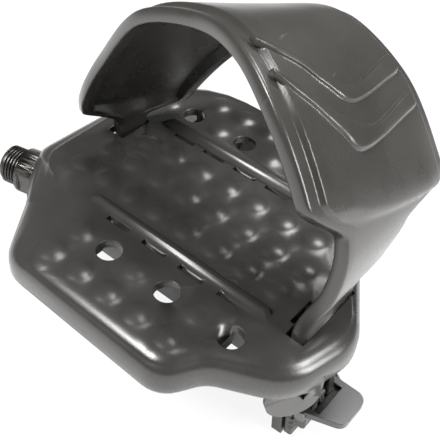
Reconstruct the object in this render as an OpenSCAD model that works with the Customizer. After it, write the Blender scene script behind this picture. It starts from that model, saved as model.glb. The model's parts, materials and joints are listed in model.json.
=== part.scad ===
// Exercise bike pedal: a ribbed plastic deck on a ball-bearing spindle, with a wide moulded
// foot strap that runs through the deck into a lever buckle.
// The origin is the shoulder where the spindle seats on the crank arm. +X runs out along the
// spindle and +Z points up out of the deck.

/* [Spindle] */
// Radius of the crank thread, 9/16 inch across
thread_r = 7.14; // [6.35:0.01:7.14]
// Length of the crank thread
thread_len = 7; // [6:0.5:14]
// Radius of the collar beside the crank arm
collar_r = 8.5; // [8.2:0.1:9]
// Length of the collar
collar_len = 9; // [7:0.5:10]
// Width across the two spanner flats on the collar
flat_across = 15; // [14:0.5:16]
// Radius of the shaft behind the inner bearing
shaft_r = 6; // [5.4:0.1:6.2]
// Radius of the small threaded end
end_r = 4.4; // [4:0.1:4.8]

/* [Bearings] */
// Radius of one ball
ball_r = 2; // [1.8:0.05:2.1]
// Number of balls in each ring
ball_count = 11; // [8:1:11]
// Radius of the ring on which the ball centres lie
ball_ring_r = 8; // [7.8:0.1:8.4]
// Outer radius of the pressed cups
cup_r = 11.5; // [11.2:0.1:12]
// Distance from the crank shoulder to the inner balls
inner_ball_x = 16; // [15.6:0.1:17]
// Distance between the two rings of balls
bearing_gap = 85; // [78:1:88]
// Running clearance of turning pieces
run_gap = 0.05; // [0.03:0.01:0.08]

/* [Deck] */
// Spacing of the grip domes
pitch = 12; // [11.5:0.1:12.4]
// Distance from the crank shoulder to the middle of the deck, along the spindle
deck_reach = 77; // [74:1:80]
// Height of the deck above the spindle axis
deck_rise = 16; // [15.5:0.5:18]
// Angle by which the deck is turned outwards from the spindle
toe_out = 13; // [9:1:15]
// Thickness of the deck
deck_t = 3; // [2.5:0.25:3.5]
// Thickness of the skirt
skirt_t = 2.5; // [2:0.25:3]
// Depth of the skirt below the deck
skirt_h = 12; // [11:0.5:13]
// Outer radius of the bearing barrel
barrel_r = 13.5; // [13.2:0.1:14.5]
// Thickness of the ribs under the deck
rib_t = 2; // [1.5:0.25:2.5]
// Radius of the drain holes
drain_r = 4.2; // [3.5:0.1:4.6]
// Radius of a grip dome
dome_r = 5; // [4.5:0.1:5.4]
// Height of a grip dome
dome_h = 1.2; // [0.8:0.1:2]
// Width of the two long grip ridges
ridge_w = 2.4; // [2:0.1:3]
// Height of the two long grip ridges
ridge_h = 3; // [2:0.1:3.5]

/* [Strap] */
// Thickness of the strap's rim
rim_t = 4.4; // [3.8:0.1:5]
// Thickness of the strap's middle panel
panel_t = 3; // [2.5:0.1:3.4]
// Height by which the panel stands above the border
panel_h = 1.4; // [1:0.1:1.8]
// Width of the border along both edges
border_w = 4; // [3:0.5:5]
// Height of the chevrons on the panel
chevron_h = 0.9; // [0.5:0.1:1.2]
// Thickness of the toothed tail
tail_t = 3; // [2.6:0.1:3.4]
// Radius of the steel pin that holds the strap's inner end
strap_pin_r = 2; // [1.6:0.1:2.2]

/* [Buckle] */
// Angle at which the tail leans outwards through the buckle
lean = 6; // [4:1:8]
// Radius of the lever pin
pin_r = 1.4; // [1.2:0.1:1.4]
// Gap between the tail and what guides it
tail_gap = 0.35; // [0.25:0.05:0.5]
// Thickness of the guide behind the tail
guide_t = 3.6; // [3:0.2:4]
// Thickness of the lever's leg
leg_t = 4.2; // [4:0.1:4.8]
// Thickness of the two arms that hold the pin
arm_t = 3; // [2.5:0.25:3.5]
// Length of the lever's thumb pad beyond its leg
pad_len = 10.5; // [9:0.5:13]
// Thickness of the thumb pad
pad_t = 2.6; // [2.2:0.2:3.2]
// Wire thickness of the lever spring
wire_t = 0.6; // [0.4:0.1:0.6]

/* [Hidden] */
$fn = 48;
plastic = [0.16, 0.16, 0.17];
steel = [0.55, 0.56, 0.58];
black_steel = [0.2, 0.2, 0.2];

// Plane vectors
function unit(v) = v / norm(v);
function turn(v, a) = [v.x * cos(a) - v.y * sin(a), v.x * sin(a) + v.y * cos(a)];
function mix(a, b, t) = a + (b - a) * t;
function wrap(i, n) = (i + n) % n;
function flat(lists) = [for (l = lists) for (p = l) p];

// A closed outline with a fillet at each corner [x, y, radius], steps + 1 points a corner
function fillet(a, c, b, steps) =
    let (p = [c.x, c.y],
         u = unit([a.x, a.y] - p),
         v = unit([b.x, b.y] - p),
         half = acos(min(1, max(-1, u * v))) / 2,
         side = (p.x - a.x) * (b.y - p.y) - (p.y - a.y) * (b.x - p.x) > 0 ? 1 : -1,
         centre = p + unit(u + v) * c[2] / sin(half),
         start = p + u * c[2] / tan(half) - centre)
    [for (j = [0:steps]) centre + turn(start, side * (180 - 2 * half) * j / steps)];
function outline(corners, steps) =
    let (n = len(corners))
    flat([for (i = [0:n - 1])
        fillet(corners[wrap(i - 1, n)], corners[i], corners[wrap(i + 1, n)], steps)]);
function inset(points, d) =
    let (n = len(points))
    [for (i = [0:n - 1])
        let (t = unit(points[wrap(i + 1, n)] - points[wrap(i - 1, n)]))
        points[i] + d * [-t.y, t.x]];
function at_height(points, z) = [for (p = points) [p.x, p.y, z]];

// A closed solid through rings of n points that run the same way round, from top to bottom.
// A flat end is a fan round its middle; the end of a strip is closed between its two long sides.
function pair(a, b, c, d) = [[a, b, c], [a, c, d]];
function strip_end(n, base, flip) =
    flat([for (i = [0:n / 2 - 2])
        let (q = [base + i, base + i + 1, base + n - 2 - i, base + n - 1 - i])
        flip ? pair(q[3], q[2], q[1], q[0]) : pair(q[0], q[1], q[2], q[3])]);
function total(points, i = 0) = i == len(points) - 1 ? points[i] : points[i] + total(points, i + 1);
function fan(n, base, hub, flip) =
    [for (i = [0:n - 1])
        let (a = base + i, b = base + wrap(i + 1, n))
        flip ? [hub, b, a] : [hub, a, b]];
module loft(rings, strip = false) {
    n = len(rings[0]);
    last = len(rings) - 1;
    sides = flat([for (k = [0:last - 1]) for (i = [0:n - 1])
        pair(k * n + i, k * n + wrap(i + 1, n), (k + 1) * n + wrap(i + 1, n), (k + 1) * n + i)]);
    hubs = strip ? [] : [total(rings[0]) / n, total(rings[last]) / n];
    top = strip ? strip_end(n, 0, true) : fan(n, 0, (last + 1) * n, true);
    bottom = strip ? strip_end(n, last * n, false) : fan(n, last * n, (last + 1) * n + 1, false);
    polyhedron(points = concat(flat(rings), hubs), faces = concat(top, sides, bottom),
        convexity = 10);
}

// Deck frame: X along the grip ridges, Z = 0 on the deck
deck_mid = 4 * pitch;
module on_deck() {
    translate([deck_reach, 0, deck_rise])
        rotate([0, 0, -toe_out])
            translate([-deck_mid, 0, 0])
                children();
}
module from_deck() {
    translate([deck_mid, 0, 0]) rotate([0, 0, toe_out]) translate([-deck_reach, 0, -deck_rise])
        children();
}
// A turned piece: its profile holds [radius, distance along the spindle]
module turned(profile) {
    rotate([0, 90, 0]) rotate([0, 0, 90]) rotate_extrude() polygon(profile);
}
module ball_groove(x) {
    rotate([0, 90, 0]) rotate_extrude() translate([ball_ring_r, x]) circle(ball_r + run_gap);
}
module along_spindle(x) {
    translate([x, 0, 0]) rotate([0, 90, 0]) children();
}

// Bearing stations along the spindle
outer_ball_x = inner_ball_x + bearing_gap;
cup_depth = 3.5;
barrel_x0 = collar_len + 1;
nut_x = outer_ball_x + 4.5;
nut_h = 4.2;
washer_h = 1.1;
barrel_x1 = nut_x + washer_h + nut_h + 2;
bore_r = shaft_r + 1.6;
cup_seat_r = cup_r + 0.02;

module spindle() {
    color(black_steel) difference() {
        union() {
            turned([[0, -thread_len - 1], [thread_r - 1, -thread_len - 1],
                [thread_r, -thread_len], [thread_r, 0], [collar_r, 0],
                [collar_r, collar_len], [ball_ring_r, collar_len],
                [ball_ring_r, inner_ball_x - 0.6], [shaft_r, inner_ball_x + 1.2],
                [shaft_r, inner_ball_x + 30], [shaft_r - 1, inner_ball_x + 40],
                [shaft_r - 1, outer_ball_x - 6], [end_r, outer_ball_x - 5],
                [end_r, nut_x + washer_h + nut_h + 0.6],
                [end_r - 0.8, nut_x + washer_h + nut_h + 1.4],
                [0, nut_x + washer_h + nut_h + 1.4]]);
        }
        ball_groove(inner_ball_x);
        for (side = [-1, 1])
            translate([collar_len / 2, side * (flat_across / 2 + 5), 0])
                cube([collar_len - 3, 10, 4 * collar_r], center = true);
    }
}

module ball_ring(x) {
    for (i = [0:ball_count - 1])
        rotate([i * 360 / ball_count, 0, 0])
            translate([x, 0, ball_ring_r])
                sphere(ball_r);
}
module inner_balls() {
    color(steel) ball_ring(inner_ball_x);
}
module outer_balls() {
    color(steel) ball_ring(outer_ball_x);
}

// side is 1 where the cup's web lies beyond the balls, and -1 where it lies before them
module cup(x, side) {
    color(steel) difference() {
        turned([[ball_ring_r + 0.9, x - side * 1.8], [cup_r, x - side * 1.8],
            [cup_r, x + side * cup_depth], [bore_r + 0.2, x + side * cup_depth],
            [bore_r + 0.2, x + side * 1.2], [ball_ring_r + 0.9, x + side * 1.2]]);
        ball_groove(x);
    }
}
module inner_cup() {
    cup(inner_ball_x, 1);
}
module outer_cup() {
    cup(outer_ball_x, -1);
}
module outer_cone() {
    color(steel) difference() {
        turned([[end_r + 0.02, outer_ball_x - 1], [ball_ring_r - 1.6, outer_ball_x - 1],
            [ball_ring_r, outer_ball_x + 0.6], [ball_ring_r, nut_x - 0.8],
            [ball_ring_r - 0.8, nut_x], [end_r + 0.02, nut_x]]);
        ball_groove(outer_ball_x);
    }
}
module lock_washer() {
    color(steel) along_spindle(nut_x) difference() {
        cylinder(h = washer_h, r = 7.4);
        translate([0, 0, -1]) cylinder(h = washer_h + 2, r = end_r + 0.02);
    }
}
module lock_nut() {
    color(steel) along_spindle(nut_x + washer_h) difference() {
        cylinder(h = nut_h, r = 7.5, $fn = 6);
        translate([0, 0, -1]) cylinder(h = nut_h + 2, r = end_r + 0.02);
    }
}
module inner_seal() {
    color("black") turned([[ball_ring_r + 0.15, collar_len + 1.4], [cup_r - 0.1, collar_len + 1.4],
        [cup_r - 0.1, inner_ball_x - 2.1], [ball_ring_r + 1.2, inner_ball_x - 2.1],
        [ball_ring_r + 0.15, inner_ball_x - 3.1]]);
}
cap_lip = 1.6;
module dust_cap() {
    color(plastic) turned([[0, barrel_x1], [cup_r - 2, barrel_x1], [cup_r - 2, barrel_x1 - 3],
        [cup_r - 0.1, barrel_x1 - 3], [cup_r - 0.1, barrel_x1], [barrel_r - 0.6, barrel_x1],
        [barrel_r - 1.6, barrel_x1 + cap_lip], [0, barrel_x1 + cap_lip]]);
}

// Corners of the deck's edge and of the skirt's rim, in grip-dome pitches, as [x, y, radius].
// Both run the same way round, so that each corner of the deck rolls down to its rim corner.
deck_corners = [[-1.1, -1.85, 1], [1.2, -2.2, 0.95], [1.5, -4.72, 0.8], [6.3, -4.72, 0.8],
    [6.85, -3.75, 0.9], [8.5, -2.85, 1.5], [8.95, -0.85, 1.5], [5.4, 4.68, 1.9],
    [-1.1, 4.68, 2.6]];
rim_corners = [[-1.75, -1.3, 0.7], [-0.33, -3.07, 3], [0.98, -4.87, 1.2], [6.45, -4.95, 0.9],
    [7.05, -3.9, 0.9], [8.8, -3, 1.6], [9.3, -0.9, 1.5], [5.7, 5, 2], [-1.45, 5, 2.7]];
corner_steps = 6;
function scaled(corners) = [for (c = corners) c * pitch];
deck_line = outline(scaled(deck_corners), corner_steps);
rim_line = outline(scaled(rim_corners), corner_steps);

// The rounded shoulder as [share of the way out to the rim, height, inset]
shoulder = [[0, 0, 0], [0.06, -0.5, 0], [0.35, -1, 0], [0.65, -2, 0], [0.86, -3.4, 0],
    [0.97, -5.2, 0], [1, -7.2, 0], [1, -skirt_h + 2.2, 0], [1, -skirt_h + 0.8, 0.6],
    [1, -skirt_h, 1.8]];
hollow = [[0, -deck_t, 1.2], [0.5, -deck_t - 1.2, 1.6], [0.88, -deck_t - 3, 2.2],
    [1, -deck_t - 5.5, skirt_t], [1, -skirt_h - 1, skirt_t]];
function shell_ring(step) =
    at_height(inset([for (i = [0:len(deck_line) - 1]) mix(deck_line[i], rim_line[i], step[0])],
        step[2]), step[1]);

// Grip domes: [row, first dome's x, number of domes, places left out for drain holes]
dome_rows = [[-3.99, 1.9, 5, []], [-2.98, 1.95, 6, [1, 3, 5]], [-1.03, -0.1, 8, []],
    [0, 0, 8, []], [1.03, -0.4, 8, [0]], [2.97, -0.27, 7, [1, 3, 5]], [3.99, 0.95, 5, []]];
ridge_rows = [[-1.92, 1.05, 7.3], [2.08, 0.15, 7.1]];
drain_slot_w = 2;
drain_slot_len = 9.5;
drain_slots = [[-2.13, [2.05, 3.33, 4.6, 5.87]], [1.86, [0.9, 2.05, 3.2, 4.35, 5.5]]];

module dome() {
    ball = (dome_r * dome_r + dome_h * dome_h) / (2 * dome_h);
    intersection() {
        translate([0, 0, dome_h - ball]) sphere(ball);
        translate([0, 0, -1]) cylinder(h = dome_h + 2, r = dome_r);
    }
}
module domes() {
    for (row = dome_rows) for (i = [0:row[2] - 1])
        if (len(search(i, row[3])) == 0)
            translate([(row[1] + i) * pitch, row[0] * pitch, 0]) dome();
}
module drain_holes() {
    for (row = dome_rows) for (i = row[3])
        if (i > 0)
            translate([(row[1] + i) * pitch, row[0] * pitch, -deck_t - 2])
                cylinder(h = deck_t + 6, r = drain_r);
}
module ridges() {
    for (r = ridge_rows)
        translate([0, r[0] * pitch + ridge_w / 2, -0.5])
            rotate([90, 0, 0])
                linear_extrude(ridge_w)
                    polygon([[r[1] * pitch, 0], [r[1] * pitch + 5, ridge_h + 0.5],
                        [r[2] * pitch - 2, ridge_h + 0.5], [r[2] * pitch, 0]]);
}
module drain_slots() {
    for (line = drain_slots) for (x = line[1])
        translate([x * pitch, line[0] * pitch - drain_slot_w / 2, -deck_t - 2])
            cube([drain_slot_len, drain_slot_w, deck_t + 4]);
}

// Ribs under the deck, kept inside the skirt: rows along X, clear of the strap's ends, and columns
rib_rows = [-42, -30, 30, 42];
rib_columns = [8, 26, 44, 62, 80];
module ribs() {
    intersection() {
        translate([0, 0, -skirt_h + 2]) linear_extrude(skirt_h - 2 - deck_t / 2)
            intersection() {
                polygon(inset(rim_line, skirt_t / 2));
                polygon(inset(deck_line, skirt_t / 2));
            }
        union() {
            for (y = rib_rows)
                translate([-40, y - rib_t / 2, -skirt_h]) cube([200, rib_t, skirt_h]);
            for (x = rib_columns)
                translate([x - rib_t / 2, -80, -skirt_h]) cube([rib_t, 160, skirt_h]);
        }
    }
}

// Strap slots through the deck
tail_y0 = -1.98 * pitch;
tail_y1 = 0.22 * pitch;
tail_x = 8.3 * pitch;
tongue_x = -0.42 * pitch;
tongue_y0 = 0.62 * pitch;
tongue_y1 = 1.72 * pitch;
tongue_lean = 1.4;
slot_gap = 0.6;
notch_w = 3;
slot_depth = deck_t + 3;
module strap_slots() {
    translate([tail_x - rim_t - 2 * slot_gap, tail_y0 - slot_gap, -slot_depth])
        cube([rim_t + 3 * slot_gap, tail_y1 - tail_y0 + 2 * slot_gap, slot_depth + 10]);
    translate([tail_x - rim_t - notch_w, -1.64 * pitch, -slot_depth])
        cube([notch_w, 0.9 * pitch, slot_depth + 10]);
    translate([tongue_x - panel_t, tongue_y0 - slot_gap, -slot_depth])
        cube([2 * panel_t + tongue_lean, tongue_y1 - tongue_y0 + 2 * slot_gap, slot_depth + 10]);
}

// The apron: the skirt runs down in a half round in front of the buckle
apron_r = 8.4;
apron_mid = [8.53 * pitch, -2.46 * pitch];
apron_turn = 56;
apron_z = -skirt_h - 3.8;
module apron() {
    translate([apron_mid.x, apron_mid.y, 0]) rotate([0, 0, apron_turn]) rotate([90, 0, 0])
        linear_extrude(skirt_t - 0.4) difference() {
            union() {
                translate([0, apron_z]) circle(apron_r);
                translate([-apron_r, apron_z]) square([2 * apron_r, -apron_z - skirt_h + 5]);
            }
            translate([2.4, apron_z + 1]) polygon([[-2, 1.2], [2.2, 1.2], [0.8, -2]]);
        }
}

// Buckle frame of reference: X = 0 on the outer side of the tail, Z up along it, at Y of the deck
buckle_top = [tail_x + 0.08 * pitch, 0, -1.4 * pitch];
module on_buckle() {
    on_deck() translate(buckle_top) rotate([0, -lean, 0]) children();
}

// Room in the skirt for the spindle's collar, and in a rib for the dust cap
collar_gap = 1.2;
cap_gap = 0.3;
module spindle_room() {
    along_spindle(-1) cylinder(h = barrel_x0 + 3, r = collar_r + collar_gap);
    along_spindle(barrel_x1 - 1) cylinder(h = cap_lip + 1.6, r = barrel_r - 0.6 + cap_gap);
}
module pedal_body() {
    color(plastic) difference() {
        union() {
            on_deck() difference() {
                union() {
                    difference() {
                        loft([for (s = shoulder) shell_ring(s)]);
                        loft([for (s = hollow) shell_ring(s)]);
                    }
                    domes();
                    ridges();
                    ribs();
                    apron();
                    lever_arms();
                    screw_bosses();
                    strap_hooks();
                }
                drain_holes();
                drain_slots();
                strap_slots();
                screw_holes();
                strap_pin_bore();
                lever_pin_bore();
                from_deck() spindle_room();
            }
            along_spindle(barrel_x0) cylinder(h = barrel_x1 - barrel_x0, r = barrel_r);
        }
        along_spindle(barrel_x0 - 1) cylinder(h = barrel_x1 - barrel_x0 + 2, r = bore_r);
        along_spindle(barrel_x0 - 1)
            cylinder(h = inner_ball_x + cup_depth - barrel_x0 + 1, r = cup_seat_r);
        along_spindle(outer_ball_x - cup_depth)
            cylinder(h = barrel_x1 - outer_ball_x + cup_depth + 1, r = cup_seat_r);
    }
}

// The tail guide's base plate is screwed up against two bosses under the deck
plate_t = 2.5;
plate_z = -skirt_h + 4;
plate_x0 = tail_x - rim_t - 14;
screw_x = plate_x0 + 4.5;
screw_ys = [tail_y0 + 2, tail_y0 + 14];
screw_r = 1.5;
boss_r = 3.6;
module screw_bosses() {
    for (y = screw_ys)
        translate([screw_x, y, plate_z]) cylinder(h = -plate_z - deck_t / 2, r = boss_r);
}
module screw_holes() {
    for (y = screw_ys)
        translate([screw_x, y, plate_z - 1]) cylinder(h = -plate_z - deck_t / 2 + 0.5, r = screw_r);
}
module guide_screws() {
    color(steel) on_deck() for (y = screw_ys)
        translate([screw_x, y, plate_z - plate_t]) difference() {
            union() {
                cylinder(h = 5.5, r = screw_r - 0.02);
                translate([0, 0, -1.8]) cylinder(h = 1.8, r = 2.9);
            }
            translate([0, 0, -1.4]) cube([0.8, 3.6, 1.4], center = true);
            translate([0, 0, -1.4]) cube([3.6, 0.8, 1.4], center = true);
        }
}

// The tongue's end hooks on a steel pin, which two hooks under the deck carry
strap_pin_z = -deck_t - 5;
hook_t = 3;
hook_gap = 0.8;
module strap_hooks() {
    for (y = [tongue_y0 - hook_gap - hook_t, tongue_y1 + hook_gap])
        translate([tongue_x - strap_pin_r - 2, y, strap_pin_z - strap_pin_r - 1.5])
            cube([2 * strap_pin_r + 4, hook_t, -strap_pin_z + strap_pin_r + 1.5 - deck_t / 2]);
}
module strap_pin_bore() {
    translate([tongue_x, tongue_y0 - hook_gap - hook_t - 1, strap_pin_z]) rotate([-90, 0, 0])
        cylinder(h = tongue_y1 - tongue_y0 + 2 * (hook_gap + hook_t) + 2, r = strap_pin_r + 0.02);
}
module strap_pin() {
    color(steel) on_deck()
        translate([tongue_x, tongue_y0 - hook_gap - hook_t, strap_pin_z]) rotate([-90, 0, 0])
            cylinder(h = tongue_y1 - tongue_y0 + 2 * (hook_gap + hook_t), r = strap_pin_r);
}

// Strap: two rails, near and far, in grip-dome pitches; the skin runs straight between them
near_rail = [[-0.5, -0.3, -0.5], [-1.02, -0.25, 0.9], [-0.8, -0.35, 1.9], [-0.03, -0.3, 3.35],
    [1.44, -0.5, 5.23], [3.55, -0.9, 6.2], [5.29, -1.6, 6.49], [6.71, -2.2, 5.91],
    [7.9, -2.55, 4.6], [8.6, -2.75, 3.2], [8.72, -2.85, 1.8], [8.3, -2.9, 0.2],
    [8.38, -2.9, -1.4], [8.625, -2.9, -3.75]];
far_rail = [[-0.35, 2.9, -0.5], [0.2, 3, 0.6], [0.95, 3.05, 1.85], [1.9, 3, 3.1],
    [3.14, 2.85, 4.4], [4.28, 2.7, 5.23], [5.55, 2.6, 5.53], [7.17, 2.6, 4.72],
    [8.39, 2.4, 3.49], [8.91, 2.2, 2.66], [8.65, 2, 1.39], [8.32, 1.8, 0.2],
    [8.38, 1.7, -1.4], [8.625, 1.7, -3.75]];
function spline(p, t) =
    let (n = len(p) - 1,
         i = min(floor(t * n), n - 1),
         f = t * n - i,
         a = p[max(i - 1, 0)], b = p[i], c = p[i + 1], d = p[min(i + 2, n)])
    0.5 * (2 * b + (c - a) * f + (2 * a - 5 * b + 4 * c - d) * f * f
        + (3 * b - a - 3 * c + d) * f * f * f);
function skin(t, v) = pitch * mix(spline(near_rail, t), spline(far_rail, t), v);
function outward(t, v) =
    let (e = 0.004, a = skin(min(t + e, 1), v) - skin(max(t - e, 0), v),
         b = skin(t, v + 0.01) - skin(t, v - 0.01))
    unit(cross(a, b));
function smooth(a, b, x) = let (f = min(1, max(0, (x - a) / (b - a)))) f * f * (3 - 2 * f);
// Stations along the strap, from 0 at the tongue's end to 1 at the tail's tip
tongue_end = 0.05;
wing_start = 0.085;
wing_end = 0.62;
neck = 0.675;
far_wing_end = 0.668;
far_neck = 0.708;
deck_top = 0.85;
tail_start = 0.9;
// Share of the width at which the near and the far edge lie
function near_edge(t) =
    t < 0.3 ? 0.3 * (1 - smooth(tongue_end, wing_start, t))
        : 0.2 * smooth(wing_end, neck, t);
function far_edge(t) =
    t < 0.3 ? 1 - 0.37 * (1 - smooth(tongue_end, wing_start, t))
        : 1 - 0.29 * smooth(far_wing_end, far_neck, t) - 0.05 * smooth(neck, deck_top - 0.03, t)
            - 0.13 * smooth(deck_top + 0.02, tail_start, t);
// The panel ends in a step that runs slantwise across the neck
function raised(t, v) =
    let (step = 0.674 - 0.05 * pow(1 - v, 2))
    panel_h * smooth(tongue_end, wing_start + 0.02, t) * (1 - smooth(step, step + 0.012, t));
function rim_depth(t) =
    mix(panel_t, rim_t, smooth(tongue_end, wing_start + 0.02, t))
        - (rim_t - tail_t) * smooth(deck_top, tail_start, t);
function web_depth(t, v) =
    mix(rim_depth(t), panel_t - panel_h, raised(t, v) / panel_h);
// The section as [share across, raised or not, outer or inner side]
function section(t) =
    let (w = norm(skin(t, far_edge(t)) - skin(t, near_edge(t))),
         b = min(border_w / w, 0.2),
         s = min((border_w + 1.4) / w, 0.26))
    [[0, 0, 0], [b, 0, 0], [s, 1, 0], [0.5, 1, 0], [1 - s, 1, 0], [1 - b, 0, 0], [1, 0, 0],
     [1, 0, 1], [1 - b, 0, 1], [1 - s, 1, 1], [0.5, 1, 1], [s, 1, 1], [b, 0, 1], [0, 0, 1]];
strap_steps = 104;
function strap_point(t, q) =
    let (v = mix(near_edge(t), far_edge(t), q[0]),
         up = q[1] * raised(t, v),
         down = q[1] > 0 ? web_depth(t, v) : rim_depth(t))
    skin(t, v) + outward(t, v) * (q[2] > 0 ? -down : up);
function strap_ring(t) = [for (q = section(t)) strap_point(t, q)];

// A chevron: the upper and the lower line of its two arms as [station, share across]
chevrons = [
    [[[0.462, 0.06], [0.478, 0.145], [0.494, 0.236], [0.52, 0.37],
      [0.535, 0.497], [0.521, 0.777], [0.516, 0.88]],
     [[0.471, 0.06], [0.489, 0.145], [0.506, 0.236], [0.53, 0.33],
      [0.55, 0.458], [0.538, 0.797], [0.534, 0.88]]],
    [[[0.502, 0.05], [0.52, 0.14], [0.539, 0.234], [0.56, 0.37],
      [0.573, 0.53], [0.558, 0.806], [0.554, 0.88]],
     [[0.508, 0.05], [0.527, 0.12], [0.545, 0.195], [0.572, 0.3],
      [0.591, 0.411], [0.574, 0.801], [0.57, 0.88]]]];
chevron_root = 0.8;
function on_line(line, f) =
    let (n = len(line) - 1, i = min(floor(f * n), n - 1))
    mix(line[i], line[i + 1], f * n - i);
function lifted(p, h) = skin(p[0], p[1]) + outward(p[0], p[1]) * (panel_h + h);
module chevron(lines) {
    n = 18;
    loft([for (k = [0:n])
        let (a = on_line(lines[0], k / n), b = on_line(lines[1], k / n))
        [lifted(b, -chevron_root), lifted(b, chevron_h), lifted(a, chevron_h),
         lifted(a, -chevron_root)]], strip = true);
}

// Teeth across the tail's outer side, and the hook round the steel pin at the tongue's end
tooth_pitch = 2.4;
tooth_h = 0.9;
tooth_count = 9;
hook_r = strap_pin_r + 1.8;
module foot_strap() {
    color(plastic) difference() {
        union() {
            on_deck() loft([for (k = [0:strap_steps]) strap_ring(k / strap_steps)], strip = true);
            on_deck() for (lines = chevrons) chevron(lines);
            on_deck() translate([tongue_x, tongue_y0, strap_pin_z]) rotate([-90, 0, 0])
                cylinder(h = tongue_y1 - tongue_y0, r = hook_r);
        }
        on_deck() strap_pin_bore();
        on_buckle() for (i = [0:tooth_count - 1])
            translate([0, tail_y0 - 2, -6 - i * tooth_pitch]) rotate([-90, 0, 0])
                linear_extrude(tail_y1 - tail_y0 + 4)
                    polygon([[-tooth_h, tooth_pitch / 2], [1, -tooth_pitch / 4], [1, tooth_pitch / 2]]);
    }
}

// The lever turns on a pin between two arms that hang from the deck
buckle_y0 = tail_y0 + 0.3;
buckle_y1 = tail_y0 + 18.5;
pivot_x = tail_gap + leg_t / 2;
pivot_z = -15.2;
arm_ys = [buckle_y0 + 3, buckle_y1 - 3 - arm_t];
arm_gap = 0.35;
arm_back = 1;
leg_len = 6.6;
pad_corner = 3.5;
module on_pivot() {
    on_buckle() translate([pivot_x, 0, pivot_z]) children();
}
module to_buckle() {
    translate(buckle_top) rotate([0, -lean, 0]) children();
}
module lever_arms() {
    intersection() {
        to_buckle() for (y = arm_ys) translate([pivot_x, y, pivot_z]) {
            translate([arm_back - leg_t / 2, 0, 0]) cube([leg_t - arm_back, arm_t, 40]);
            rotate([-90, 0, 0]) cylinder(h = arm_t, r = leg_t / 2);
        }
        translate([0, -80, -80]) cube([200, 160, 80 - deck_t / 2]);
    }
}
module lever_pin_bore() {
    to_buckle() translate([pivot_x, arm_ys[0] - 1, pivot_z]) rotate([-90, 0, 0])
        cylinder(h = arm_ys[1] - arm_ys[0] + arm_t + 2, r = pin_r + 0.02);
}
guide_len = 29.5;
guide_top = (plate_z - 0.6 - buckle_top.z + tail_t * sin(lean)) / cos(lean);
module tail_guide() {
    color(plastic) difference() {
        union() {
            on_deck() translate([plate_x0, buckle_y0 - 0.4, plate_z - plate_t])
                cube([tail_x - tail_t - plate_x0 - 1.5, buckle_y1 - buckle_y0 + 0.8, plate_t]);
            on_buckle() translate([-tail_t - tail_gap - guide_t, buckle_y0 - 1, -guide_len])
                cube([guide_t, buckle_y1 - buckle_y0 + 2, guide_len + guide_top]);
        }
        on_deck() for (y = screw_ys)
            translate([screw_x, y, plate_z - plate_t - 1])
                cylinder(h = plate_t + 2, r = screw_r + 0.3);
    }
}
module buckle_lever() {
    width = buckle_y1 - buckle_y0;
    notch_len = arm_ys[1] - arm_ys[0] + arm_t + 2 * arm_gap;
    color(plastic) on_pivot() difference() {
        union() {
            translate([0, buckle_y0, 0]) rotate([-90, 0, 0]) cylinder(h = width, r = leg_t / 2);
            translate([-leg_t / 2, buckle_y0, -leg_len + leg_t / 2])
                cube([leg_t, width, leg_len - leg_t / 2]);
            translate([0, buckle_y0, -leg_len + leg_t / 2]) rotate([-90, 0, 0])
                cylinder(h = width, r = leg_t / 2);
            translate([0, buckle_y0, -0.6]) rotate([0, lean, 0]) linear_extrude(pad_t) hull() {
                translate([0, 0.3]) square([1, width - 0.6]);
                for (y = [2 * pad_corner, width - 0.3 - pad_corner])
                    translate([pad_len + leg_t / 2 - pad_corner, y]) circle(pad_corner);
            }
        }
        translate([0, buckle_y0 - 1, 0]) rotate([-90, 0, 0])
            cylinder(h = width + 2, r = pin_r + run_gap);
        translate([0, arm_ys[0] - arm_gap, 0]) {
            rotate([-90, 0, 0]) cylinder(h = notch_len, r = spring_room);
            translate([-spring_room - 1, 0, 0]) cube([spring_room + 1 + leg_t + 0.6, notch_len, 20]);
        }
    }
}
module buckle_pin() {
    color(steel) on_pivot() translate([0, buckle_y0 - 0.9, 0]) rotate([-90, 0, 0]) {
        cylinder(h = buckle_y1 - buckle_y0 + 2.2, r = pin_r);
        cylinder(h = 0.8, r = pin_r + 0.6);
    }
}
module pin_clip() {
    color(steel) on_pivot() translate([0, buckle_y1 + 0.1, 0]) rotate([-90, 0, 0]) difference() {
        cylinder(h = 0.6, r = pin_r + 0.9);
        translate([0, 0, -1]) cylinder(h = 3, r = pin_r + 0.02);
    }
}

// Torsion spring round the pin, between the arms
spring_gap = 0.2;
spring_r = pin_r + spring_gap + wire_t / 2;
spring_turns = 3;
spring_sides = 8;
spring_steps = 42;
spring_room = spring_r + wire_t / 2 + 0.3;
function spring_point(f, a) =
    let (turn_deg = f * spring_turns * 360, r = spring_r + wire_t / 2 * cos(a))
    [r * cos(turn_deg), wire_t / 2 * sin(a) + (wire_t + 0.15) * spring_turns * f, r * sin(turn_deg)];
module lever_spring() {
    color(steel) on_pivot()
        translate([0, (arm_ys[0] + arm_t + arm_ys[1] - spring_turns * (wire_t + 0.15)) / 2, 0])
            polyhedron(points = [for (k = [0:spring_steps]) for (j = [0:spring_sides - 1])
                    spring_point(k / spring_steps, -j * 360 / spring_sides)],
                faces = concat([[for (j = [0:spring_sides - 1]) j]],
                    [[for (j = [spring_sides - 1:-1:0]) spring_steps * spring_sides + j]],
                    flat([for (k = [0:spring_steps - 1]) for (j = [0:spring_sides - 1])
                        let (a = k * spring_sides + j, b = k * spring_sides + wrap(j + 1, spring_sides))
                        pair(a, a + spring_sides, b + spring_sides, b)])));
}

spindle();
inner_seal();
inner_cup();
inner_balls();
outer_cup();
outer_balls();
outer_cone();
lock_washer();
lock_nut();
dust_cap();
pedal_body();
foot_strap();
strap_pin();
tail_guide();
guide_screws();
buckle_lever();
buckle_pin();
pin_clip();
lever_spring();
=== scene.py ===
"""Exercise bike pedal: finishes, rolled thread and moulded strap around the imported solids."""

import json
import math

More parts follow.
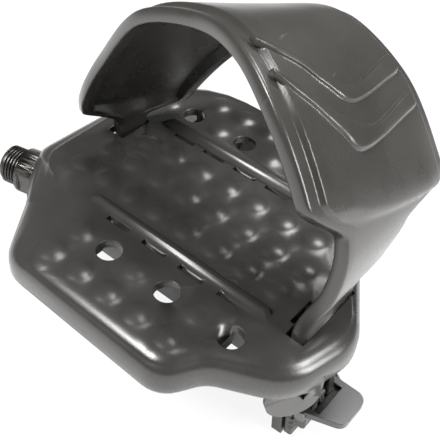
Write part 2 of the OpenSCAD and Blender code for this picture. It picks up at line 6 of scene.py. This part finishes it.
import bmesh
import bpy
from mathutils import Matrix, Vector

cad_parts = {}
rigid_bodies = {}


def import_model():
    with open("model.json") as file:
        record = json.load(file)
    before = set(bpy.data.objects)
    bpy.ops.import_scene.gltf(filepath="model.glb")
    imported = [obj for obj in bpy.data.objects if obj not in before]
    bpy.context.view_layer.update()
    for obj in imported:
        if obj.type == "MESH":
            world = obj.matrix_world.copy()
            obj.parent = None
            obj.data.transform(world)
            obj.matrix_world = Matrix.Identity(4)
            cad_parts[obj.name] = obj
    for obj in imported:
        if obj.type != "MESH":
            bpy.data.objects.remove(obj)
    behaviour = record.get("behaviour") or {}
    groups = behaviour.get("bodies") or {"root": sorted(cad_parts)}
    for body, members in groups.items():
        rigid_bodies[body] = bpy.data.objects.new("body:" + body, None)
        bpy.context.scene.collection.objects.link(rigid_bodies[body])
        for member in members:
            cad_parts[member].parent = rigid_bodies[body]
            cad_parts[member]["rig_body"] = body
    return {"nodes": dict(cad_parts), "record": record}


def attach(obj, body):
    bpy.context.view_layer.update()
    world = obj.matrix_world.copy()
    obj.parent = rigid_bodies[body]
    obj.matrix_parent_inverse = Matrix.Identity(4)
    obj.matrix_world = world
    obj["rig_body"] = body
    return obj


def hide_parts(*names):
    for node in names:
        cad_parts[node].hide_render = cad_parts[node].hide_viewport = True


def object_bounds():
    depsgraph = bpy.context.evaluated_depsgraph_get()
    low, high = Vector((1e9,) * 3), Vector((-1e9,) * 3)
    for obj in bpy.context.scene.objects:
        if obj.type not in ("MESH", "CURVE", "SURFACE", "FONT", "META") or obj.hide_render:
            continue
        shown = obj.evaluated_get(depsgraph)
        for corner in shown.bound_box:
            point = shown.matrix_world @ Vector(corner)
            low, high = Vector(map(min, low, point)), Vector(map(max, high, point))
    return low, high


MM = 0.001

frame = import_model()
nodes = frame["nodes"]
cad_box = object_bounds()


# Small mesh helpers


def add_object(name, mesh):
    """Links a mesh as an object at the origin."""
    obj = bpy.data.objects.new(name, mesh)
    bpy.context.scene.collection.objects.link(obj)
    return obj


def mesh_from(name, points, faces, sharp_angle):
    """A welded mesh with outward normals, smooth up to the given angle."""
    mesh = bpy.data.meshes.new(name)
    mesh.from_pydata([tuple(p) for p in points], [], faces)
    finish_mesh(mesh, sharp_angle, recalculate=True)
    return mesh


def finish_mesh(mesh, sharp_angle, recalculate=False):
    """Merges doubles and shades smooth, with creases past the given angle."""
    bm = bmesh.new()
    bm.from_mesh(mesh)
    bmesh.ops.remove_doubles(bm, verts=bm.verts, dist=2e-6)
    if recalculate:
        bmesh.ops.recalc_face_normals(bm, faces=bm.faces)
    bm.to_mesh(mesh)
    bm.free()
    mesh.polygons.foreach_set("use_smooth", [True] * len(mesh.polygons))
    mesh.set_sharp_from_angle(angle=math.radians(sharp_angle))
    mesh.update()


def tube_faces(rings, count, start=0, capped=True):
    """Faces between rings of count points each, closed at both ends."""
    faces = []
    for k in range(rings - 1):
        a, b = start + k * count, start + (k + 1) * count
        for i in range(count):
            j = (i + 1) % count
            faces.append((a + i, a + j, b + j, b + i))
    if capped:
        last = start + (rings - 1) * count
        half = count // 2
        for i in range(half - 1):
            for base, flip in ((start, True), (last, False)):
                quad = (base + i, base + i + 1, base + count - 2 - i, base + count - 1 - i)
                faces.append(quad[::-1] if flip else quad)
    return faces


def smooth_copy(node, sharp_angle):
    """A welded and smoothly shaded copy of a CAD node, which stands for it."""
    mesh = nodes[node].data.copy()
    mesh.materials.clear()
    mesh.name = node + "_finished"
    finish_mesh(mesh, sharp_angle)
    obj = add_object(node + "_finished", mesh)
    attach(obj, nodes[node]["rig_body"])
    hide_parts(node)
    return obj


# Frames of the deck and of the buckle, in millimetres, as the solids have them

PITCH = 12.0
DECK_REACH, DECK_RISE, TOE_OUT = 77.0, 16.0, 13.0
DECK_MID = 4 * PITCH
TURN = Matrix.Rotation(math.radians(-TOE_OUT), 3, "Z")


def from_deck(p):
    """A point of the deck frame, in mm, as a point of the row frame, in metres."""
    q = TURN @ Vector((p[0] - DECK_MID, p[1], p[2]))
    return (q + Vector((DECK_REACH, 0, DECK_RISE))) * MM


# Foot strap: rails in grip-dome pitches, sections in millimetres, stations along it from 0 to 1

NEAR_RAIL = [(-0.5, -0.3, -0.5), (-1.02, -0.25, 0.9), (-0.8, -0.35, 1.9), (-0.03, -0.3, 3.35),
             (1.44, -0.5, 5.23), (3.55, -0.9, 6.2), (5.29, -1.6, 6.49), (6.71, -2.2, 5.91),
             (7.9, -2.55, 4.6), (8.6, -2.75, 3.2), (8.72, -2.85, 1.8), (8.3, -2.9, 0.2),
             (8.38, -2.9, -1.4), (8.625, -2.9, -3.75)]
FAR_RAIL = [(-0.35, 2.9, -0.5), (0.2, 3, 0.6), (0.95, 3.05, 1.85), (1.9, 3, 3.1),
            (3.14, 2.85, 4.4), (4.28, 2.7, 5.23), (5.55, 2.6, 5.53), (7.17, 2.6, 4.72),
            (8.39, 2.4, 3.49), (8.91, 2.2, 2.66), (8.65, 2, 1.39), (8.32, 1.8, 0.2),
            (8.38, 1.7, -1.4), (8.625, 1.7, -3.75)]
RIM_T, PANEL_T, PANEL_H, BORDER_W, TAIL_T = 4.4, 3.0, 1.4, 4.0, 3.0
CHEVRON_H, CHEVRON_ROOT = 0.9, 0.8
TONGUE_END, WING_START, WING_END, NECK = 0.05, 0.085, 0.62, 0.675
FAR_WING_END, FAR_NECK = 0.668, 0.708
DECK_TOP, TAIL_START = 0.85, 0.9
CHEVRONS = [
    ([(0.462, 0.06), (0.478, 0.145), (0.494, 0.236), (0.52, 0.37),
      (0.535, 0.497), (0.521, 0.777), (0.516, 0.88)],
     [(0.471, 0.06), (0.489, 0.145), (0.506, 0.236), (0.53, 0.33),
      (0.55, 0.458), (0.538, 0.797), (0.534, 0.88)]),
    ([(0.502, 0.05), (0.52, 0.14), (0.539, 0.234), (0.56, 0.37),
      (0.573, 0.53), (0.558, 0.806), (0.554, 0.88)],
     [(0.508, 0.05), (0.527, 0.12), (0.545, 0.195), (0.572, 0.3),
      (0.591, 0.411), (0.574, 0.801), (0.57, 0.88)]),
]
LEAN = math.radians(6)
BUCKLE_TOP = Vector((8.38 * PITCH, 0, -1.4 * PITCH))
TOOTH_PITCH, TOOTH_H, TOOTH_COUNT, FIRST_TOOTH = 2.4, 0.9, 9, -6.0


def catmull(points, t):
    """A point of the smooth line through evenly spaced points, t from 0 to 1."""
    n = len(points) - 1
    i = min(int(t * n), n - 1)
    f = t * n - i
    a, b, c, d = (Vector(points[k]) for k in (max(i - 1, 0), i, i + 1, min(i + 2, n)))
    return 0.5 * (2 * b + (c - a) * f + (2 * a - 5 * b + 4 * c - d) * f * f
                  + (3 * b - a - 3 * c + d) * f ** 3)


def skin(t, v):
    """The strap's own surface: t runs along it from the tongue, v across it."""
    return PITCH * catmull(NEAR_RAIL, t).lerp(catmull(FAR_RAIL, t), v)


def outward(t, v):
    """The skin's normal, away from the foot."""
    e = 0.004
    along = skin(min(t + e, 1), v) - skin(max(t - e, 0), v)
    across = skin(t, v + 0.01) - skin(t, v - 0.01)
    return along.cross(across).normalized()


def ease(a, b, x):
    """A smooth step from 0 at a to 1 at b."""
    f = min(1.0, max(0.0, (x - a) / (b - a)))
    return f * f * (3 - 2 * f)


def near_edge(t):
    """Share of the rails' distance at which the strap's near edge lies."""
    if t < 0.3:
        return 0.3 * (1 - ease(TONGUE_END, WING_START, t))
    return 0.2 * ease(WING_END, NECK, t)


def far_edge(t):
    """Share of the rails' distance at which the strap's far edge lies."""
    if t < 0.3:
        return 1 - 0.37 * (1 - ease(TONGUE_END, WING_START, t))
    return (1 - 0.29 * ease(FAR_WING_END, FAR_NECK, t) - 0.05 * ease(NECK, DECK_TOP - 0.03, t)
            - 0.13 * ease(DECK_TOP + 0.02, TAIL_START, t))


def panel_height(t, v):
    """Height of the middle panel over the border; it ends in a step across the neck."""
    step = 0.674 - 0.05 * (1 - v) ** 2
    return PANEL_H * ease(TONGUE_END, WING_START + 0.02, t) * (1 - ease(step, step + 0.012, t))


def rim_depth(t):
    """Thickness of the strap at its edges."""
    grown = ease(TONGUE_END, WING_START + 0.02, t)
    return PANEL_T + (RIM_T - PANEL_T) * grown - (RIM_T - TAIL_T) * ease(DECK_TOP, TAIL_START, t)


def tooth_cut(p):
    """Depth of the teeth at a point of the tail's outer side, in the deck frame."""
    q = p - BUCKLE_TOP
    up = q.z * math.cos(LEAN) - q.x * math.sin(LEAN)
    s = (FIRST_TOOTH + TOOTH_PITCH / 2 - up) / TOOTH_PITCH
    if s < 0 or s > TOOTH_COUNT:
        return 0.0
    return TOOTH_H * max(0.0, 1 - (s % 1.0) * 1.6)


ROUND_OVER, ROUND_SHARE = 0.9, 0.3
ROUND_STEPS = (15, 40, 65, 90)
SLOPE_W, SLOPE_STEPS = 1.4, (0.15, 0.4, 0.6, 0.85)
BORDER_MAX, SLOPE_MAX = 0.2, 0.26
PANEL_POINTS, PANEL_GAP = 9, 0.09


def strap_section(t):
    """Points round the strap: outer side from near to far, then the inner side back.

    Each point of a side is held as its share of the width, its height over the skin
    and how far it has climbed from the border to the panel.
    """
    lo, hi = near_edge(t), far_edge(t)
    width = (skin(t, hi) - skin(t, lo)).length
    border = min(BORDER_W / width, BORDER_MAX)
    inner = min((BORDER_W + SLOPE_W) / width, SLOPE_MAX)
    depth = rim_depth(t)
    corner = min(ROUND_OVER, depth * ROUND_SHARE)
    cw = corner / width
    arc = [(math.cos(math.radians(a)), math.sin(math.radians(a))) for a in ROUND_STEPS]
    left = [(cw * (1 - c), -corner * (1 - s), 0) for c, s in arc]
    left += [(border - 0.25 * cw, 0, 0)]
    left += [(border + (inner - border) * k, 0, ease(0, 1, k)) for k in SLOPE_STEPS]
    left += [(inner + 0.3 * cw, 0, 1)]
    middle = [(0.5 + (k - PANEL_POINTS // 2) * PANEL_GAP * (1 - 2 * inner), 0, 1)
              for k in range(PANEL_POINTS)]
    right = [(1 - q, h, r) for q, h, r in left[::-1]]
    outer = left + middle + right
    ring = []
    for q, h, r in outer:
        v = lo + (hi - lo) * q
        base, n = skin(t, v), outward(t, v)
        top = base + n * (h + r * panel_height(t, v))
        if t > DECK_TOP:
            top = top - n * tooth_cut(top)
        ring.append(top)
    for q, h, r in outer[::-1]:
        v = lo + (hi - lo) * q
        base, n = skin(t, v), outward(t, v)
        raised = panel_height(t, v) / PANEL_H
        web = depth + (PANEL_T - PANEL_H - depth) * raised
        ring.append(base - n * ((web if r > 0 else depth) * r + depth * (1 - r) + h))
    return ring


CHEVRON_FOOT, CHEVRON_EASE = 0.2, 0.18


def chevron_ring(lines, f):
    """Points round a chevron's section, a share f of the way along it."""
    a, b = catmull(lines[0], f), catmull(lines[1], f)
    lift = PANEL_H + CHEVRON_H

    def at(share, h):
        p = b.lerp(a, share)
        return skin(p[0], p[1]) + outward(p[0], p[1]) * h

    half = [(0.0, PANEL_H - CHEVRON_ROOT), (0.0, PANEL_H + CHEVRON_FOOT),
            (0.08, lift - CHEVRON_EASE), (0.2, lift)]
    return [at(q, h) for q, h in half] + [at(1 - q, h) for q, h in half[::-1]]


HOOK_MID = (-0.42 * PITCH, -8.0)
HOOK_R, HOOK_BORE = 3.8, 2.05
HOOK_Y = (0.62 * PITCH, 1.72 * PITCH)
HOOK_CHAMFER = 0.3


def hook_points(sides=40):
    """The eye of the tongue: a tube round the strap's pin, chamfered at both ends."""
    y0, y1 = HOOK_Y
    rings = []
    for r, y in ((HOOK_R, y0 + HOOK_CHAMFER), (HOOK_R - HOOK_CHAMFER, y0), (HOOK_BORE, y0),
                 (HOOK_BORE, y1), (HOOK_R - HOOK_CHAMFER, y1), (HOOK_R, y1 - HOOK_CHAMFER)):
        rings.append([Vector((HOOK_MID[0] + r * math.cos(a), y, HOOK_MID[1] + r * math.sin(a)))
                      for a in (2 * math.pi * k / sides for k in range(sides))])
    return rings


BAND_STEPS, TAIL_STEPS, CHEVRON_STEPS = 250, 110, 49
STRAP_CREASE, BODY_CREASE, SPINDLE_CREASE = 38, 32, 30


def foot_strap():
    """The strap as one smooth moulding with its chevrons and the eye of its tongue."""
    stations = [TAIL_START * k / BAND_STEPS for k in range(BAND_STEPS)]
    stations += [TAIL_START + (1 - TAIL_START) * k / TAIL_STEPS for k in range(TAIL_STEPS + 1)]
    points, faces = [], []
    rings = [strap_section(t) for t in stations]
    for ring in rings:
        points += ring
    faces += tube_faces(len(rings), len(rings[0]))
    for lines in CHEVRONS:
        start = len(points)
        bars = [chevron_ring(lines, k / (CHEVRON_STEPS - 1)) for k in range(CHEVRON_STEPS)]
        for ring in bars:
            points += ring
        faces += tube_faces(CHEVRON_STEPS, len(bars[0]), start)
    start = len(points)
    eye = hook_points()
    sides = len(eye[0])
    for ring in eye:
        points += ring
    faces += tube_faces(len(eye), sides, start, capped=False)
    last = start + (len(eye) - 1) * sides
    faces += [(last + i, last + (i + 1) % sides, start + (i + 1) % sides, start + i)
              for i in range(sides)]
    mesh = mesh_from("foot_strap_moulded", [from_deck(p) for p in points], faces,
                     STRAP_CREASE)
    obj = add_object("foot_strap_moulded", mesh)
    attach(obj, "pedal")
    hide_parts("foot_strap")
    return obj


# Spindle with its rolled thread

THREAD_R, THREAD_MINOR, THREAD_PITCH = 7.14 * MM, 6.36 * MM, 1.27 * MM
THREAD_START, THREAD_END = -0.9 * MM, -7.3 * MM
RIDGE_SINK, RIDGE_R, NEARLY = 0.14 * MM, 0.64 * MM, 0.01 * MM


def thread_tree():
    """Geometry Nodes: a V-shaped ridge that winds round the shaft, with named sizes."""
    tree = bpy.data.node_groups.new("rolled_thread", "GeometryNodeTree")
    face = tree.interface
    face.new_socket("Geometry", in_out="OUTPUT", socket_type="NodeSocketGeometry")
    for name in ("Radius", "Ridge", "Length", "Turns"):
        face.new_socket(name, in_out="INPUT", socket_type="NodeSocketFloat")
    face.new_socket("Finish", in_out="INPUT", socket_type="NodeSocketMaterial")
    made, link = tree.nodes, tree.links.new
    given = made.new("NodeGroupInput")
    result = made.new("NodeGroupOutput")
    helix = made.new("GeometryNodeCurveSpiral")
    helix.inputs["Resolution"].default_value = 72
    link(given.outputs["Radius"], helix.inputs["Start Radius"])
    link(given.outputs["Radius"], helix.inputs["End Radius"])
    link(given.outputs["Length"], helix.inputs["Height"])
    link(given.outputs["Turns"], helix.inputs["Rotations"])
    upright = made.new("GeometryNodeSetCurveNormal")
    upright.mode = "Z_UP"
    link(helix.outputs["Curve"], upright.inputs["Curve"])
    ridge = made.new("GeometryNodeCurvePrimitiveCircle")
    ridge.inputs["Resolution"].default_value = 3
    link(given.outputs["Ridge"], ridge.inputs["Radius"])
    facing = made.new("GeometryNodeTransform")
    facing.inputs["Rotation"].default_value = (0, 0, math.pi)
    link(ridge.outputs["Curve"], facing.inputs["Geometry"])
    sweep = made.new("GeometryNodeCurveToMesh")
    sweep.inputs["Fill Caps"].default_value = True
    link(upright.outputs["Curve"], sweep.inputs["Curve"])
    link(facing.outputs["Geometry"], sweep.inputs["Profile Curve"])
    laid = made.new("GeometryNodeTransform")
    laid.inputs["Rotation"].default_value = (0, -math.pi / 2, 0)
    laid.inputs["Translation"].default_value = (THREAD_START, 0, 0)
    link(sweep.outputs["Mesh"], laid.inputs["Geometry"])
    real = made.new("GeometryNodeRealizeInstances")
    link(laid.outputs["Geometry"], real.inputs["Geometry"])
    finish = made.new("GeometryNodeSetMaterial")
    link(real.outputs["Geometry"], finish.inputs["Geometry"])
    link(given.outputs["Finish"], finish.inputs["Material"])
    link(finish.outputs["Geometry"], result.inputs["Geometry"])
    return tree


def grown(name, tree, values):
    """The plain mesh that a Geometry Nodes tree makes from named values."""
    obj = add_object(name, bpy.data.meshes.new(name))
    modifier = obj.modifiers.new("make", "NODES")
    modifier.node_group = tree
    for item in tree.interface.items_tree:
        if item.in_out == "INPUT" and item.name in values:
            modifier[item.identifier] = values[item.name]
    bpy.context.view_layer.update()
    ready = obj.evaluated_get(bpy.context.evaluated_depsgraph_get())
    mesh = bpy.data.meshes.new_from_object(ready)
    obj.modifiers.remove(modifier)
    obj.data = mesh
    return obj


def spindle(finish):
    """The CAD spindle with its plain thread turned down and a real thread wound on it."""
    obj = smooth_copy("spindle", SPINDLE_CREASE)
    for v in obj.data.vertices:
        r = math.hypot(v.co.y, v.co.z)
        if v.co.x < NEARLY / 10 and THREAD_MINOR < r < THREAD_R + NEARLY:
            v.co.y *= THREAD_MINOR / r
            v.co.z *= THREAD_MINOR / r
    length = THREAD_START - THREAD_END
    ridge = grown("spindle_thread", thread_tree(), {
        "Radius": THREAD_MINOR + RIDGE_SINK, "Ridge": RIDGE_R, "Length": length,
        "Turns": length / THREAD_PITCH, "Finish": finish})
    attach(ridge, "root")
    return obj, ridge


# Shared shader groups


def new_group(name, inputs, outputs):
    group = bpy.data.node_groups.new(name, "ShaderNodeTree")
    for title, kind, value in inputs:
        socket = group.interface.new_socket(title, in_out="INPUT", socket_type=kind)
        if value is not None:
            socket.default_value = value
    for title, kind in outputs:
        group.interface.new_socket(title, in_out="OUTPUT", socket_type=kind)
    return group, group.nodes.new("NodeGroupInput"), group.nodes.new("NodeGroupOutput")


def value_ramp(group, source, low, high):
    """Maps a value from low..high to 0..1, clamped."""
    ramp = group.nodes.new("ShaderNodeMapRange")
    group.links.new(source, ramp.inputs["Value"])
    for key, given in (("From Min", low), ("From Max", high)):
        if isinstance(given, (int, float)):
            ramp.inputs[key].default_value = given
        else:
            group.links.new(given, ramp.inputs[key])
    return ramp.outputs["Result"]


def edge_wear_group():
    """Mask of edges that hands and shoes rub, broken up by noise, and the eased normal."""
    group, given, result = new_group(
        "edge_wear",
        [("Radius", "NodeSocketFloat", 0.0006), ("Reach", "NodeSocketFloat", 0.35),
         ("Breakup", "NodeSocketFloat", 180.0)],
        [("Mask", "NodeSocketFloat"), ("Normal", "NodeSocketVector")])
    made, link = group.nodes, group.links.new
    eased = made.new("ShaderNodeBevel")
    eased.samples = 6
    link(given.outputs["Radius"], eased.inputs["Radius"])
    surface = made.new("ShaderNodeNewGeometry")
    facing = made.new("ShaderNodeVectorMath")
    facing.operation = "DOT_PRODUCT"
    link(eased.outputs["Normal"], facing.inputs[0])
    link(surface.outputs["Normal"], facing.inputs[1])
    turned = made.new("ShaderNodeMath")
    turned.operation = "SUBTRACT"
    turned.inputs[0].default_value = 1.0
    link(facing.outputs["Value"], turned.inputs[1])
    edge = value_ramp(group, turned.outputs["Value"], 0.01, given.outputs["Reach"])
    place = made.new("ShaderNodeTexCoord")
    patches = made.new("ShaderNodeTexNoise")
    patches.inputs["Detail"].default_value = 4.0
    link(place.outputs["Object"], patches.inputs["Vector"])
    link(given.outputs["Breakup"], patches.inputs["Scale"])
    worn = value_ramp(group, patches.outputs["Fac"], 0.35, 0.65)
    both = made.new("ShaderNodeMath")
    both.operation = "MULTIPLY"
    link(edge, both.inputs[0])
    link(worn, both.inputs[1])
    link(both.outputs["Value"], result.inputs["Mask"])
    link(eased.outputs["Normal"], result.inputs["Normal"])
    return group


def grain_group():
    """Fine surface grain as a height, and a broad mottle as a value."""
    group, given, result = new_group(
        "surface_grain",
        [("Grain Scale", "NodeSocketFloat", 1800.0), ("Mottle Scale", "NodeSocketFloat", 45.0)],
        [("Height", "NodeSocketFloat"), ("Mottle", "NodeSocketFloat")])
    made, link = group.nodes, group.links.new
    place = made.new("ShaderNodeTexCoord")
    fine = made.new("ShaderNodeTexNoise")
    fine.inputs["Detail"].default_value = 3.0
    link(place.outputs["Object"], fine.inputs["Vector"])
    link(given.outputs["Grain Scale"], fine.inputs["Scale"])
    broad = made.new("ShaderNodeTexNoise")
    broad.inputs["Detail"].default_value = 5.0
    broad.inputs["Roughness"].default_value = 0.6
    link(place.outputs["Object"], broad.inputs["Vector"])
    link(given.outputs["Mottle Scale"], broad.inputs["Scale"])
    link(fine.outputs["Fac"], result.inputs["Height"])
    link(value_ramp(group, broad.outputs["Fac"], 0.3, 0.7), result.inputs["Mottle"])
    return group


def scuff_group():
    """Mask of long fine scuffs, stretched along one way."""
    group, given, result = new_group(
        "scuffs",
        [("Scale", "NodeSocketFloat", 60.0), ("Stretch", "NodeSocketVector", (1.0, 9.0, 9.0)),
         ("Amount", "NodeSocketFloat", 0.66)],
        [("Mask", "NodeSocketFloat")])
    made, link = group.nodes, group.links.new
    place = made.new("ShaderNodeTexCoord")
    drawn = made.new("ShaderNodeVectorMath")
    drawn.operation = "MULTIPLY"
    link(place.outputs["Object"], drawn.inputs[0])
    link(given.outputs["Stretch"], drawn.inputs[1])
    marks = made.new("ShaderNodeTexNoise")
    marks.inputs["Detail"].default_value = 6.0
    marks.inputs["Roughness"].default_value = 0.7
    link(drawn.outputs["Vector"], marks.inputs["Vector"])
    link(given.outputs["Scale"], marks.inputs["Scale"])
    top = made.new("ShaderNodeMath")
    top.operation = "ADD"
    top.inputs[1].default_value = 0.1
    link(given.outputs["Amount"], top.inputs[0])
    found = value_ramp(group, marks.outputs["Fac"], given.outputs["Amount"], top.outputs["Value"])
    link(found, result.inputs["Mask"])
    return group


EDGE_WEAR = edge_wear_group()
GRAIN = grain_group()
SCUFFS = scuff_group()


# Materials


class Finish:
    """One procedural material: base look, grain, rubbed edges and scuffs."""

    def __init__(self, name, metallic=0.0, specular=0.5, coat=0.0, coat_roughness=0.2):
        self.material = bpy.data.materials.new(name)
        self.material.use_nodes = True
        self.tree = self.material.node_tree
        self.made, self.link = self.tree.nodes, self.tree.links.new
        self.shader = self.made["Principled BSDF"]
        self.shader.inputs["Metallic"].default_value = metallic
        self.shader.inputs["Specular IOR Level"].default_value = specular
        self.shader.inputs["Coat Weight"].default_value = coat
        self.shader.inputs["Coat Roughness"].default_value = coat_roughness

    def group(self, group, **values):
        node = self.made.new("ShaderNodeGroup")
        node.node_tree = group
        for key, value in values.items():
            node.inputs[key.replace("_", " ")].default_value = value
        return node

    def mix(self, fac, a, b, kind="RGBA"):
        node = self.made.new("ShaderNodeMix")
        node.data_type = kind
        slots = [s for s in node.inputs if s.enabled]
        result = next(s for s in node.outputs if s.enabled)
        for slot, given in zip(slots, (fac, a, b)):
            if isinstance(given, (int, float)):
                slot.default_value = given
            elif isinstance(given, tuple):
                slot.default_value = (*given, 1.0) if kind == "RGBA" else given
            else:
                self.link(given, slot)
        return result

    def build(self, dark, light, worn, smooth, rough, edges, grain, scuffs, bump):
        """dark and light mottle, worn on edges; smooth and rough bound the roughness."""
        colour = self.mix(grain.outputs["Mottle"], dark, light)
        colour = self.mix(edges.outputs["Mask"], colour, worn)
        colour = self.mix(scuffs.outputs["Mask"], colour, worn)
        self.link(colour, self.shader.inputs["Base Color"])
        gloss = self.mix(grain.outputs["Mottle"], smooth, rough, "FLOAT")
        gloss = self.mix(scuffs.outputs["Mask"], gloss, min(1.0, rough + 0.15), "FLOAT")
        gloss = self.mix(edges.outputs["Mask"], gloss, smooth * 0.8, "FLOAT")
        self.link(gloss, self.shader.inputs["Roughness"])
        height = self.made.new("ShaderNodeBump")
        height.inputs["Strength"].default_value = bump
        height.inputs["Distance"].default_value = 0.0001
        self.link(grain.outputs["Height"], height.inputs["Height"])
        self.link(edges.outputs["Normal"], height.inputs["Normal"])
        self.link(height.outputs["Normal"], self.shader.inputs["Normal"])
        return self.material


def moulded_plastic(name, dark, light, worn, smooth, rough, radius, stretch, bump=0.25):
    finish = Finish(name, specular=0.5)
    return finish.build(
        dark, light, worn, smooth, rough,
        finish.group(EDGE_WEAR, Radius=radius, Reach=0.3, Breakup=160.0),
        finish.group(GRAIN, Grain_Scale=2200.0, Mottle_Scale=38.0),
        finish.group(SCUFFS, Scale=55.0, Stretch=stretch, Amount=0.66), bump)


def steel(name, dark, light, worn, smooth, rough, stretch, bump=0.12):
    finish = Finish(name, metallic=1.0)
    return finish.build(
        dark, light, worn, smooth, rough,
        finish.group(EDGE_WEAR, Radius=0.0003, Reach=0.3, Breakup=300.0),
        finish.group(GRAIN, Grain_Scale=3000.0, Mottle_Scale=120.0),
        finish.group(SCUFFS, Scale=140.0, Stretch=stretch, Amount=0.62), bump)


BODY_PLASTIC = moulded_plastic(
    "body_satin_black", (0.021, 0.020, 0.019), (0.031, 0.029, 0.027), (0.060, 0.058, 0.055),
    0.24, 0.34, 0.0006, (1.0, 6.0, 6.0))
STRAP_PLASTIC = moulded_plastic(
    "strap_satin_black", (0.022, 0.021, 0.019), (0.032, 0.030, 0.027), (0.080, 0.077, 0.071),
    0.24, 0.33, 0.0005, (7.0, 1.0, 2.0))
BUCKLE_PLASTIC = moulded_plastic(
    "buckle_satin_black", (0.022, 0.021, 0.020), (0.031, 0.030, 0.029), (0.070, 0.068, 0.065),
    0.28, 0.38, 0.0004, (3.0, 3.0, 1.0))
BLACK_STEEL = steel(
    "spindle_black_oxide", (0.055, 0.053, 0.050), (0.10, 0.097, 0.09), (0.28, 0.27, 0.26),
    0.30, 0.45, (1.0, 8.0, 8.0))
GROUND_STEEL = steel(
    "bearing_ground_steel", (0.42, 0.42, 0.43), (0.52, 0.52, 0.54), (0.62, 0.62, 0.64),
    0.15, 0.25, (1.0, 9.0, 9.0))
ZINC_STEEL = steel(
    "fastener_blackened", (0.09, 0.088, 0.085), (0.15, 0.147, 0.143), (0.30, 0.295, 0.29),
    0.28, 0.42, (4.0, 1.0, 4.0))
SEAL_RUBBER = moulded_plastic(
    "seal_rubber_black", (0.018, 0.018, 0.018), (0.026, 0.026, 0.026), (0.05, 0.05, 0.05),
    0.60, 0.75, 0.0002, (2.0, 2.0, 2.0))

BY_SLOT = {
    "body_plastic": BODY_PLASTIC,
    "strap_plastic": STRAP_PLASTIC,
    "buckle_plastic": BUCKLE_PLASTIC,
    "spindle_steel": BLACK_STEEL,
    "bearing_steel": GROUND_STEEL,
    "fastener_steel": ZINC_STEEL,
    "seal_rubber": SEAL_RUBBER,
}


def wear(obj, slot):
    """Gives a piece the material of its slot."""
    obj.data.materials.clear()
    obj.data.materials.append(BY_SLOT[slot])


for part in frame["record"]["subparts"]:
    wear(nodes[part["node"]], part["material_slot"])

wear(foot_strap(), "strap_plastic")
body = smooth_copy("pedal_body", BODY_CREASE)
wear(body, "body_plastic")
for piece in spindle(BLACK_STEEL):
    wear(piece, "spindle_steel")


# Floor, light and camera


FLOOR_R, FLOOR_GREY, FLOOR_GLOW = 3.0, 0.8, 0.9


def studio_floor(z):
    """A plain pale floor that meets the camera as near white and keeps a faint shadow."""
    mesh = bpy.data.meshes.new("studio_floor")
    r = FLOOR_R
    mesh.from_pydata([(-r, -r, z), (r, -r, z), (r, r, z), (-r, r, z)], [], [(0, 1, 2, 3)])
    floor = add_object("studio_floor", mesh)
    material = bpy.data.materials.new("studio_floor_white")
    material.use_nodes = True
    made, link = material.node_tree.nodes, material.node_tree.links.new
    made.clear()
    out = made.new("ShaderNodeOutputMaterial")
    matt = made.new("ShaderNodeBsdfDiffuse")
    matt.inputs["Color"].default_value = (FLOOR_GREY, FLOOR_GREY, FLOOR_GREY, 1)
    glow = made.new("ShaderNodeEmission")
    rays = made.new("ShaderNodeLightPath")
    share = made.new("ShaderNodeMath")
    share.operation = "MULTIPLY"
    share.inputs[1].default_value = FLOOR_GLOW
    link(rays.outputs["Is Camera Ray"], share.inputs[0])
    blend = made.new("ShaderNodeMixShader")
    link(share.outputs["Value"], blend.inputs["Fac"])
    link(matt.outputs["BSDF"], blend.inputs[1])
    link(glow.outputs["Emission"], blend.inputs[2])
    link(blend.outputs["Shader"], out.inputs["Surface"])
    mesh.materials.append(material)


def world_light(strength):
    """White to the camera, a plain soft fill to everything else."""
    world = bpy.data.worlds.new("studio_world")
    world.use_nodes = True
    bpy.context.scene.world = world
    made, link = world.node_tree.nodes, world.node_tree.links.new
    back = made["Background"]
    rays = made.new("ShaderNodeLightPath")
    level = made.new("ShaderNodeMapRange")
    level.inputs["To Min"].default_value = strength
    level.inputs["To Max"].default_value = 1.0
    link(rays.outputs["Is Camera Ray"], level.inputs["Value"])
    link(level.outputs["Result"], back.inputs["Strength"])
    back.inputs["Color"].default_value = (1, 1, 1, 1)


def softbox(name, place, target, size, power):
    """A rectangular area light that looks at the target."""
    light = bpy.data.lights.new(name, "AREA")
    light.shape = "RECTANGLE"
    light.size, light.size_y = size
    light.energy = power
    obj = bpy.data.objects.new(name, light)
    obj.location = place
    aim = Vector(target) - Vector(place)
    obj.rotation_euler = aim.to_track_quat("-Z", "Y").to_euler()
    bpy.context.scene.collection.objects.link(obj)


FOCAL_MM = 61.313
SHIFT = (0.0773, -0.0025)
EYE = Vector((0.144614, -0.164980, 0.184876))
RIGHT = Vector((0.881301, 0.469810, 0.050866))
UP = Vector((-0.360141, 0.598057, 0.715979))
FORWARD = Vector((-0.305954, 0.649312, -0.696266))


def photo_camera():
    """The camera at the photograph's viewpoint."""
    data = bpy.data.cameras.new("photo_camera")
    data.sensor_width, data.lens = 36.0, FOCAL_MM
    data.shift_x, data.shift_y = SHIFT
    data.clip_start, data.clip_end = 0.01, 20.0
    camera = bpy.data.objects.new("photo_camera", data)
    columns = Matrix((RIGHT, UP, -FORWARD)).transposed()
    camera.matrix_world = Matrix.Translation(EYE) @ columns.to_4x4()
    bpy.context.scene.collection.objects.link(camera)
    bpy.context.scene.camera = camera


FLOOR_Z = cad_box[0].z - 0.001
MIDDLE = (0.08, 0.0, 0.03)
studio_floor(FLOOR_Z)
world_light(0.2)
softbox("key_softbox", (-0.25, -0.45, 0.75), MIDDLE, (0.3, 0.2), 14.0)
softbox("top_softbox", (0.2, 0.35, 0.8), MIDDLE, (0.25, 0.4), 7.0)
softbox("side_softbox", (0.8, -0.05, 0.4), MIDDLE, (0.2, 0.4), 9.0)
photo_camera()
bpy.context.scene.view_settings.view_transform = "Standard"
